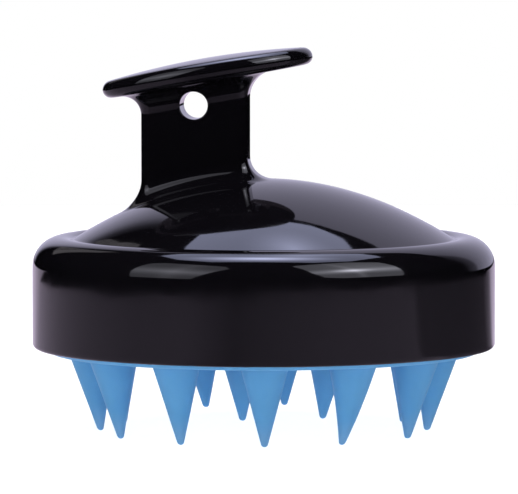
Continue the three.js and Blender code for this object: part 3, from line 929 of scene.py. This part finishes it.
# %% The paper floor
white_paper, tree, shader, place = start_finish("White paper", {"IOR": 1.5, "Roughness": 0.9})
colour = two_shades(tree, place, 1.5, 4.0, "#f3f3f4", "#f8f8f9")
tree.links.new(colour, shader.inputs["Base Color"])


def stage_sheet(name, outline, finish, place=(0, 0, 0), turn=(0, 0, 0)):
    """A flat sheet of the studio, which isn't part of the brush."""
    mesh = bpy.data.meshes.new(name)
    mesh.from_pydata([(*point, 0) for point in outline], [], [tuple(range(len(outline)))])
    mesh.materials.append(finish)
    sheet = add_object(name, mesh)
    sheet.location, sheet.rotation_euler = place, turn
    return sheet


def round_outline(radius, corners, middle=(0, 0)):
    turns = np.linspace(0, 2 * math.pi, corners, endpoint=False) + math.pi / corners
    return [(middle[0] + radius * math.cos(t), middle[1] + radius * math.sin(t)) for t in turns]


floor = stage_sheet("paper_floor", round_outline(0.7, 96), white_paper, (0, 0, -0.0001))
floor.visible_glossy = False
print("floor:", floor.name)

# %% [markdown]
# ### Soft boxes as cards
# A soft box is a lamp behind a white cloth. The cloth is brightest in front of the lamp and fades
# towards its edges, and the gloss shows that as a hot middle. A gradient node gives each card this
# fall of light. The brightness is in Blender's own unit, where 1 is white on the screen.

# %% Cards that only reflections see


def glow_start(name, tint):
    """An emission finish, its tree, and the strength that one unit of brightness needs."""
    finish = bpy.data.materials.new(name)
    finish.use_nodes = True
    tree = finish.node_tree
    tree.nodes.clear()
    glow = add_node(tree, "ShaderNodeEmission", {"Color": linear(tint)})
    add_node(tree, "ShaderNodeOutputMaterial", {}, {"Surface": glow.outputs["Emission"]})
    return finish, tree, glow, 3 / sum(linear(tint)[:3])


def gradient(tree, kind, middle, reach):
    """A gradient round a middle point, or along a line that starts there."""
    place = add_node(tree, "ShaderNodeTexCoord").outputs["Object"]
    spread = {"Location": (*middle, 0), "Scale": (*reach, 1)}
    mapped = add_node(tree, "ShaderNodeMapping", spread, {"Vector": place}, vector_type="TEXTURE")
    links = {"Vector": mapped.outputs["Vector"]}
    return add_node(tree, "ShaderNodeTexGradient", {}, links, gradient_type=kind).outputs["Fac"]


def lamp_cloth(name, tint, edge, *spots):
    """A cloth with an even brightness and brighter spots: their middle, reach and gain."""
    finish, tree, glow, unit = glow_start(name, tint)
    level = None
    for middle, reach, gain in spots:
        spot = gradient(tree, "QUADRATIC_SPHERE", middle, reach)
        values = {1: gain * unit, 2: edge * unit}
        links = {0: spot} if level is None else {0: spot, 2: level}
        total = add_node(tree, "ShaderNodeMath", values, links, operation="MULTIPLY_ADD")
        level = total.outputs["Value"]
    tree.links.new(level, glow.inputs["Strength"])
    return finish


def uneven_paper(name, tint, kind, middle, reach, *stops):
    """Paper whose brightness changes along a line or round a point: place and brightness."""
    finish, tree, glow, unit = glow_start(name, tint)
    fac = gradient(tree, kind, middle, reach)
    ramp = add_node(tree, "ShaderNodeValToRGB", {}, {"Fac": fac})
    marks = ramp.color_ramp.elements
    marks[0].position, marks[1].position = stops[0][0], stops[-1][0]
    for position, _ in stops[1:-1]:
        marks.new(position)
    for mark, (_, level) in zip(marks, stops):
        mark.color = (level, level, level, 1)
    links = {0: ramp.outputs["Color"]}
    strength = add_node(tree, "ShaderNodeMath", {1: unit}, links, operation="MULTIPLY")
    tree.links.new(strength.outputs["Value"], glow.inputs["Strength"])
    return finish


def card(name, outline, finish, place, turn=(0, 0, 0)):
    sheet = stage_sheet(name, outline, finish, place, turn)
    for ray in ("camera", "diffuse", "transmission", "volume_scatter", "shadow"):
        setattr(sheet, f"visible_{ray}", False)


BRUSH = (0, 0, 0.04)


def looking(place, aim):
    """The turn that points an object's -Z from a place to its aim, with its own Y up."""
    return (Vector(aim) - Vector(place)).to_track_quat("-Z", "Y").to_euler()


print("helpers for cards: lamp_cloth, uneven_paper, card")

# %% The soft boxes
overhead_spots = [((-0.03, 0.18), (0.9, 0.6), 10.0), ((0.14, 0.84), (0.45, 0.42), 2.6)]
overhead_cloth = lamp_cloth("Overhead cloth", "#d4d9ff", 2.0, *overhead_spots)
overhead_front = [(-0.86, 0.02), (-0.55, -0.42), (0.62, -0.42), (0.98, -0.02), (0.98, 0.74)]
overhead_back = [(0.56, 1.2), (0.47, 1.37), (0.22, 1.45), (0.02, 1.42), (-0.1, 1.3), (-0.58, 1.28)]
overhead_outline = [*overhead_front, *overhead_back, (-0.86, 0.74)]
card("overhead_card", overhead_outline, overhead_cloth, (0, 0, 2.015))

# a card's face is its +Z, so its -Z points from the brush to its own place
left_spots = [((-0.05, -0.1), (2.8, 0.7), 1.5), ((-0.08, 0), (0.4, 3.0), 0.5)]
left_cloth = lamp_cloth("Left cloth", "#f0f0ff", 0.68, *left_spots)
left_outline = [(-0.62, -1), (0.7, -1), (0.66, 0.78), (0.5, 0.93), (-0.55, 0.93), (-0.78, 0.66)]
LEFT_PLACE = (-1.206, -1.168, 1.127)
card("left_card", left_outline, left_cloth, LEFT_PLACE, looking(BRUSH, LEFT_PLACE))

right_spots = [((-0.1, 0.02), (2.8, 0.5), 3.8), ((0.1, 0.05), (0.5, 0.3), 9.0)]
right_spots += [((0.07, 0), (0.16, 2.4), 1.2), ((-0.2, 0.5), (1.3, 0.9), 0.9)]
right_cloth = lamp_cloth("Right cloth", "#f0f0ff", 1.1, *right_spots)
right_low = [(-0.8, -0.88), (0.5, -0.86), (0.86, -0.7), (0.88, 0)]
right_outline = [*right_low, (0.7, 1.1), (0.6, 1.18), (-0.35, 1.18), (-0.75, 0.9)]
RIGHT_PLACE = (1.439, -0.888, 1.131)
card("right_card", right_outline, right_cloth, RIGHT_PLACE, looking(BRUSH, RIGHT_PLACE))
print("soft boxes: overhead, left and right")

# %% [markdown]
# ### Backdrop and table
# The backdrop is paper that hangs behind the brush and fades to both sides. The table is a small
# pale disc that ends about 0.4 m from the brush, so the upper part of the band shows the dark room
# over its edge. Its right rear is in shade.

# %% The backdrop and the table
backdrop_stops = [(0.068, 0), (0.088, 0.08), (0.104, 0.25), (0.119, 0.46), (0.135, 0.58)]
backdrop_stops += [(0.165, 0.7), (0.45, 0.72), (0.62, 0.68), (0.74, 0.56), (0.79, 0.22), (1, 0)]
backdrop_paper = uneven_paper(
    "Backdrop paper", "#e4e0ff", "LINEAR", (-1.3, 0), (4.1, 1), *backdrop_stops
)
backdrop_top = [(2.8, 1.9), (1.7, 2.5), (0.9, 2.42), (0.5, 2.6), (-1.3, 2.6)]
backdrop_outline = [(-1.3, 0), (2.8, 0), *backdrop_top]
card("backdrop_card", backdrop_outline, backdrop_paper, (0, 2, 0), (math.pi / 2, 0, 0))
side_cloth = lamp_cloth("Side cloth", "#f2ecf4", 0.3, ((-1.25, 1.9), (0.5, 1.0), 0.15))
side_outline = [(-1.72, 0.9), (-0.9, 0.9), (-1.02, 1.3), (-1.17, 1.7), (-1.31, 2.35), (-1.72, 2.35)]
card("side_card", side_outline, side_cloth, (0, 2, 0), (math.pi / 2, 0, 0))


def place_on_ramp(azimuth):
    """Where a direction, in degrees from the back towards +X, lies on a radial ramp."""
    return ((90 - azimuth) / 360 + 0.5) % 1


table_levels = {-91: 0.42, -125: 0.34, -150: 0.36, -172: 0.18, 175: 0.23, 140: 0.34, 100: 0.37}
table_levels |= {96: 0.18, 60: 0.09, 40: 0.07, 30: 0.25, 24: 0.8, -34: 0.78, -45: 0.55, -89: 0.43}
table_stops = sorted((place_on_ramp(azimuth), level) for azimuth, level in table_levels.items())
table_paper = uneven_paper("Table paper", "#ecdcf8", "RADIAL", (0, 0), (1, 1), *table_stops)
table_outline = round_outline(0.43, 64, (0.022, -0.002))
card("table_card", table_outline, table_paper, (0, 0, -0.0003))
rear_outline = [(-0.42, 0.3), (0.25, 0.3), (0.25, 1.0), (-0.42, 1.0)]
card("rear_table_card", rear_outline, table_paper, (0, 0, -0.0002))
print("cards: backdrop, table and its rear")

# %% [markdown]
# ### Light on the pad and the paper
# A sun without shadows stands for the even light that cleared the background. Two broad low
# lights from the front shape the pad: the front fingers shade those behind them. One soft lamp
# above leaves a little less light under the brush, where its own shadow falls.

# %% Lamps


def add_light(name, kind, energy, tint, place, aim, **settings):
    light = bpy.data.lights.new(name, kind)
    light.energy = energy
    light.color = linear(tint)[:3]
    for setting, value in settings.items():
        setattr(light, setting, value)
    lamp = add_object(name, light)
    lamp.location, lamp.rotation_euler = place, looking(place, aim)
    lamp.visible_glossy = False


add_light("even_light", "SUN", 3.3, "#ffffff", (0, 0, 2), (0, 0.3, 0), use_shadow=False)
for name, energy, x in (("left_fill", 1.35, -1.5), ("right_fill", 1.15, 1.4)):
    add_light(name, "SUN", energy, "#ffffff", (x, -2, 0.1), BRUSH, angle=math.radians(50))
add_light("soft_overhead", "AREA", 12, "#ffffff", (0, 0, 1.6), BRUSH, shape="SQUARE", size=1.6)


def studio_air():
    """The world: white to the camera, and a dark room to everything else."""
    world = bpy.data.worlds.new("studio")
    bpy.context.scene.world = world
    world.use_nodes = True
    tree = world.node_tree
    tree.nodes.clear()
    to_camera = add_node(tree, "ShaderNodeLightPath").outputs["Is Camera Ray"]
    room = add_node(tree, "ShaderNodeBackground", {"Color": linear("#08080a"), "Strength": 1.0})
    white = add_node(tree, "ShaderNodeBackground", {"Color": linear("#ffffff"), "Strength": 1.0})
    sides = {"Fac": to_camera, 1: room.outputs["Background"], 2: white.outputs["Background"]}
    mixed = add_node(tree, "ShaderNodeMixShader", {}, sides)
    add_node(tree, "ShaderNodeOutputWorld", {}, {"Surface": mixed.outputs["Shader"]})
    return world


print("world:", studio_air().name)

# %% [markdown]
# ## The camera
# The angle was found from the ellipses of the band: the eye is 4 degrees above the horizon and 5.6
# degrees to the right, 1.1 m away behind a long lens, so near and far look almost the same size.

# %% The camera
AZIMUTH, ELEVATION, DISTANCE = math.radians(5.6), math.radians(4.0), 1.1
AIM_RIGHT, AIM_HEIGHT = -0.93 * MM, 35.8 * MM

level_back = Vector((math.sin(AZIMUTH), -math.cos(AZIMUTH), 0))
backward = math.cos(ELEVATION) * level_back + Vector((0, 0, math.sin(ELEVATION)))
rightward = Vector((math.cos(AZIMUTH), math.sin(AZIMUTH), 0))
lens = bpy.data.cameras.new("long lens")
lens.sensor_width = 36
lens.lens = 392.9
camera = add_object("camera", lens)
camera.location = AIM_RIGHT * rightward + Vector((0, 0, AIM_HEIGHT)) + DISTANCE * backward
camera.rotation_euler = looking(backward, (0, 0, 0))
bpy.context.scene.camera = camera
bpy.context.scene.view_settings.view_transform = "Standard"
